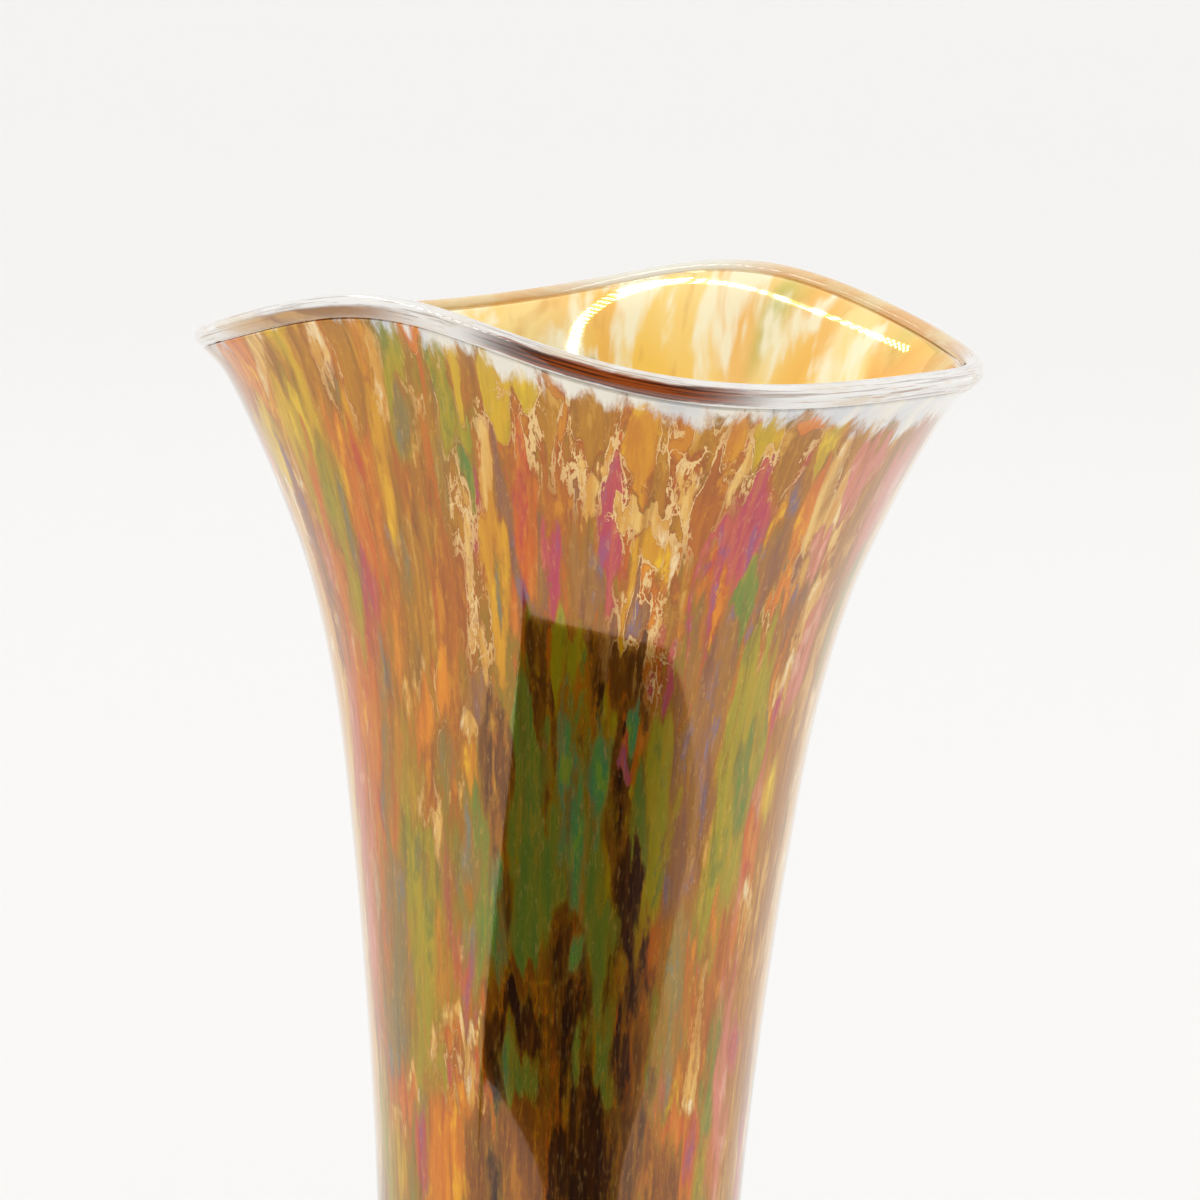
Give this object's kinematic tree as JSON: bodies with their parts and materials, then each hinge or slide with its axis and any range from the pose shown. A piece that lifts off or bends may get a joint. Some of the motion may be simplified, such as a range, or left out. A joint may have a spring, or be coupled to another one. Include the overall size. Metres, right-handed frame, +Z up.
{
  "type": "art glass vase",
  "caption": "Tall hand blown glass vase with a ruffled trumpet mouth, slim neck, rounded lower bowl and foot pad, in streaked lustre colours over a golden lining.",
  "frame": {"origin": "on the table, at the middle of the foot pad, which is on the vase's axis and within half a millimetre of the middle of its box", "axes": "+Z up along the vase's axis, -Y to the front, where the lip's long low wave falls from left to right, and +X to the right as seen from the front"},
  "size_m": [0.1337, 0.1276, 0.297],
  "materials": {
    "clear_casing": "fire polished lustre over streaked colours",
    "coloured_glass": "fused streaks of coloured glass",
    "opal_glass": "milky opal",
    "amber_lining": "golden lustre",
    "lip_amber": "fire polished",
    "foot_amber": "polished, with a ground ring"
  },
  "bodies": {
    "root": {"clear_casing": "clear_casing", "coloured_glass_layer": "coloured_glass", "opal_layer": "opal_glass", "amber_lining": "amber_lining", "lip_wrap": "lip_amber", "foot_pad": "foot_amber"}
  },
  "joints": []
}
